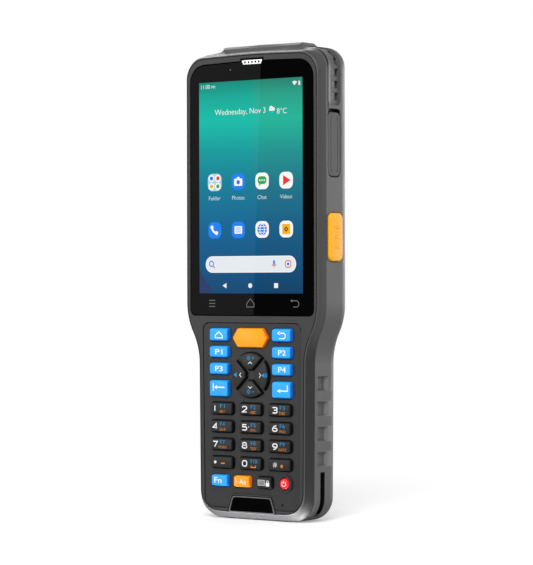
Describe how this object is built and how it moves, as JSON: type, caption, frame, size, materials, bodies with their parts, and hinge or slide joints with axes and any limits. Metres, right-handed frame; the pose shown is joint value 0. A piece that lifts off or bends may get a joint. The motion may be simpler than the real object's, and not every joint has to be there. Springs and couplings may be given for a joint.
{
  "type": "barcode data terminal",
  "caption": "Handheld data terminal with a tall touch display over a key panel, side scan triggers, a port cover and a scanner window in its top end.",
  "frame": {"origin": "middle of the underside of the box round the terminal, which stands on its foot", "axes": "+Z from the foot to the scanner end, +Y from the glass to the battery, +X to the right seen from the front"},
  "size_m": [0.0712, 0.0238, 0.1933],
  "materials": {
    "black_rubber": "matt",
    "circuit_green": "solder mask",
    "contact_gold": "plated",
    "cover_glass": "polished, black behind",
    "cover_rubber": "matt",
    "display_panel": "lit display",
    "flash_white": "clear",
    "frame_alloy": "cast",
    "front_shell": "fine matt texture",
    "grille_white": "satin",
    "inner_black": "matt",
    "key_black": "satin",
    "key_blue": "satin",
    "key_orange": "satin",
    "key_red": "satin",
    "latch_black": "satin",
    "lens_glass": "polished",
    "pack_shell": "fine matt texture",
    "panel_shell": "satin",
    "plate_black": "polished",
    "port_steel": "drawn",
    "rear_shell": "fine matt texture",
    "screw_steel": "zinc plated",
    "trigger_orange": "satin",
    "window_dark": "polished"
  },
  "bodies": {
    "housing": {"front_housing": "front_shell", "rear_housing": "rear_shell", "housing_gasket": "black_rubber", "housing_screws": "screw_steel", "touch_glass": "cover_glass", "display_module": "display_panel", "chassis_frame": "frame_alloy", "earpiece_grille": "grille_white", "earpiece_receiver": "inner_black", "front_camera": "lens_glass", "keypad_panel": "panel_shell", "key_membrane": "black_rubber", "keypad_board": "circuit_green", "name_plate": "plate_black", "scan_window": "window_dark", "scan_engine": "inner_black", "main_board": "circuit_green", "side_switches": "inner_black", "cover_tether": "cover_rubber", "usb_port": "port_steel", "battery_pack": "pack_shell", "battery_contacts": "inner_black", "rear_camera": "lens_glass", "camera_flash": "flash_white", "loudspeaker": "inner_black", "vibration_motor": "frame_alloy", "charging_contacts": "contact_gold"},
    "port_cover": {"port_cover": "cover_rubber"},
    "battery_latch": {"battery_latch": "latch_black"},
    "trigger_right": {"trigger_right": "trigger_orange"},
    "trigger_left": {"trigger_left": "trigger_orange"},
    "key_scan": {"key_scan": "key_orange"},
    "key_home": {"key_home": "key_blue"},
    "key_back": {"key_back": "key_blue"},
    "key_p1": {"key_p1": "key_blue"},
    "key_p2": {"key_p2": "key_blue"},
    "key_p3": {"key_p3": "key_blue"},
    "key_p4": {"key_p4": "key_blue"},
    "key_tab": {"key_tab": "key_blue"},
    "key_enter": {"key_enter": "key_blue"},
    "key_up": {"key_up": "key_black"},
    "key_left": {"key_left": "key_black"},
    "key_down": {"key_down": "key_black"},
    "key_right": {"key_right": "key_black"},
    "key_1": {"key_1": "key_black"},
    "key_2": {"key_2": "key_black"},
    "key_3": {"key_3": "key_black"},
    "key_4": {"key_4": "key_black"},
    "key_5": {"key_5": "key_black"},
    "key_6": {"key_6": "key_black"},
    "key_7": {"key_7": "key_black"},
    "key_8": {"key_8": "key_black"},
    "key_9": {"key_9": "key_black"},
    "key_dot": {"key_dot": "key_black"},
    "key_0": {"key_0": "key_black"},
    "key_hash": {"key_hash": "key_black"},
    "key_fn": {"key_fn": "key_blue"},
    "key_alpha": {"key_alpha": "key_orange"},
    "key_lock": {"key_lock": "key_black"},
    "key_power": {"key_power": "key_red"}
  },
  "joints": [
    {"name": "port_cover_swing", "type": "hinge", "parent": "housing", "child": "port_cover", "pos_m": [0.034, -0.00075, 0.1396], "axis": [0, 1, 0], "range_deg": [0, 100]},
    {"name": "battery_latch_slide", "type": "slide", "parent": "housing", "child": "battery_latch", "axis": [0, 0, 1], "range_m": [0, 0.0025], "stiffness_N_per_m": 400},
    {"name": "trigger_right_press", "type": "slide", "parent": "housing", "child": "trigger_right", "axis": [-1, 0, 0], "range_m": [0, 0.0008], "stiffness_N_per_m": 800},
    {"name": "trigger_left_press", "type": "slide", "parent": "housing", "child": "trigger_left", "axis": [1, 0, 0], "range_m": [0, 0.0008], "stiffness_N_per_m": 800},
    {"name": "key_scan_press", "type": "slide", "parent": "housing", "child": "key_scan", "axis": [0, 1, 0], "range_m": [0, 0.0007], "stiffness_N_per_m": 400},
    {"name": "key_home_press", "type": "slide", "parent": "housing", "child": "key_home", "axis": [0, 1, 0], "range_m": [0, 0.0007], "stiffness_N_per_m": 400},
    {"name": "key_back_press", "type": "slide", "parent": "housing", "child": "key_back", "axis": [0, 1, 0], "range_m": [0, 0.0007], "stiffness_N_per_m": 400},
    {"name": "key_p1_press", "type": "slide", "parent": "housing", "child": "key_p1", "axis": [0, 1, 0], "range_m": [0, 0.0007], "stiffness_N_per_m": 400},
    {"name": "key_p2_press", "type": "slide", "parent": "housing", "child": "key_p2", "axis": [0, 1, 0], "range_m": [0, 0.0007], "stiffness_N_per_m": 400},
    {"name": "key_p3_press", "type": "slide", "parent": "housing", "child": "key_p3", "axis": [0, 1, 0], "range_m": [0, 0.0007], "stiffness_N_per_m": 400},
    {"name": "key_p4_press", "type": "slide", "parent": "housing", "child": "key_p4", "axis": [0, 1, 0], "range_m": [0, 0.0007], "stiffness_N_per_m": 400},
    {"name": "key_tab_press", "type": "slide", "parent": "housing", "child": "key_tab", "axis": [0, 1, 0], "range_m": [0, 0.0007], "stiffness_N_per_m": 400},
    {"name": "key_enter_press", "type": "slide", "parent": "housing", "child": "key_enter", "axis": [0, 1, 0], "range_m": [0, 0.0007], "stiffness_N_per_m": 400},
    {"name": "key_up_press", "type": "slide", "parent": "housing", "child": "key_up", "axis": [0, 1, 0], "range_m": [0, 0.0007], "stiffness_N_per_m": 400},
    {"name": "key_left_press", "type": "slide", "parent": "housing", "child": "key_left", "axis": [0, 1, 0], "range_m": [0, 0.0007], "stiffness_N_per_m": 400},
    {"name": "key_down_press", "type": "slide", "parent": "housing", "child": "key_down", "axis": [0, 1, 0], "range_m": [0, 0.0007], "stiffness_N_per_m": 400},
    {"name": "key_right_press", "type": "slide", "parent": "housing", "child": "key_right", "axis": [0, 1, 0], "range_m": [0, 0.0007], "stiffness_N_per_m": 400},
    {"name": "key_1_press", "type": "slide", "parent": "housing", "child": "key_1", "axis": [0, 1, 0], "range_m": [0, 0.0007], "stiffness_N_per_m": 400},
    {"name": "key_2_press", "type": "slide", "parent": "housing", "child": "key_2", "axis": [0, 1, 0], "range_m": [0, 0.0007], "stiffness_N_per_m": 400},
    {"name": "key_3_press", "type": "slide", "parent": "housing", "child": "key_3", "axis": [0, 1, 0], "range_m": [0, 0.0007], "stiffness_N_per_m": 400},
    {"name": "key_4_press", "type": "slide", "parent": "housing", "child": "key_4", "axis": [0, 1, 0], "range_m": [0, 0.0007], "stiffness_N_per_m": 400},
    {"name": "key_5_press", "type": "slide", "parent": "housing", "child": "key_5", "axis": [0, 1, 0], "range_m": [0, 0.0007], "stiffness_N_per_m": 400},
    {"name": "key_6_press", "type": "slide", "parent": "housing", "child": "key_6", "axis": [0, 1, 0], "range_m": [0, 0.0007], "stiffness_N_per_m": 400},
    {"name": "key_7_press", "type": "slide", "parent": "housing", "child": "key_7", "axis": [0, 1, 0], "range_m": [0, 0.0007], "stiffness_N_per_m": 400},
    {"name": "key_8_press", "type": "slide", "parent": "housing", "child": "key_8", "axis": [0, 1, 0], "range_m": [0, 0.0007], "stiffness_N_per_m": 400},
    {"name": "key_9_press", "type": "slide", "parent": "housing", "child": "key_9", "axis": [0, 1, 0], "range_m": [0, 0.0007], "stiffness_N_per_m": 400},
    {"name": "key_dot_press", "type": "slide", "parent": "housing", "child": "key_dot", "axis": [0, 1, 0], "range_m": [0, 0.0007], "stiffness_N_per_m": 400},
    {"name": "key_0_press", "type": "slide", "parent": "housing", "child": "key_0", "axis": [0, 1, 0], "range_m": [0, 0.0007], "stiffness_N_per_m": 400},
    {"name": "key_hash_press", "type": "slide", "parent": "housing", "child": "key_hash", "axis": [0, 1, 0], "range_m": [0, 0.0007], "stiffness_N_per_m": 400},
    {"name": "key_fn_press", "type": "slide", "parent": "housing", "child": "key_fn", "axis": [0, 1, 0], "range_m": [0, 0.0007], "stiffness_N_per_m": 400},
    {"name": "key_alpha_press", "type": "slide", "parent": "housing", "child": "key_alpha", "axis": [0, 1, 0], "range_m": [0, 0.0007], "stiffness_N_per_m": 400},
    {"name": "key_lock_press", "type": "slide", "parent": "housing", "child": "key_lock", "axis": [0, 1, 0], "range_m": [0, 0.0007], "stiffness_N_per_m": 400},
    {"name": "key_power_press", "type": "slide", "parent": "housing", "child": "key_power", "axis": [0, 1, 0], "range_m": [0, 0.0007], "stiffness_N_per_m": 400}
  ]
}
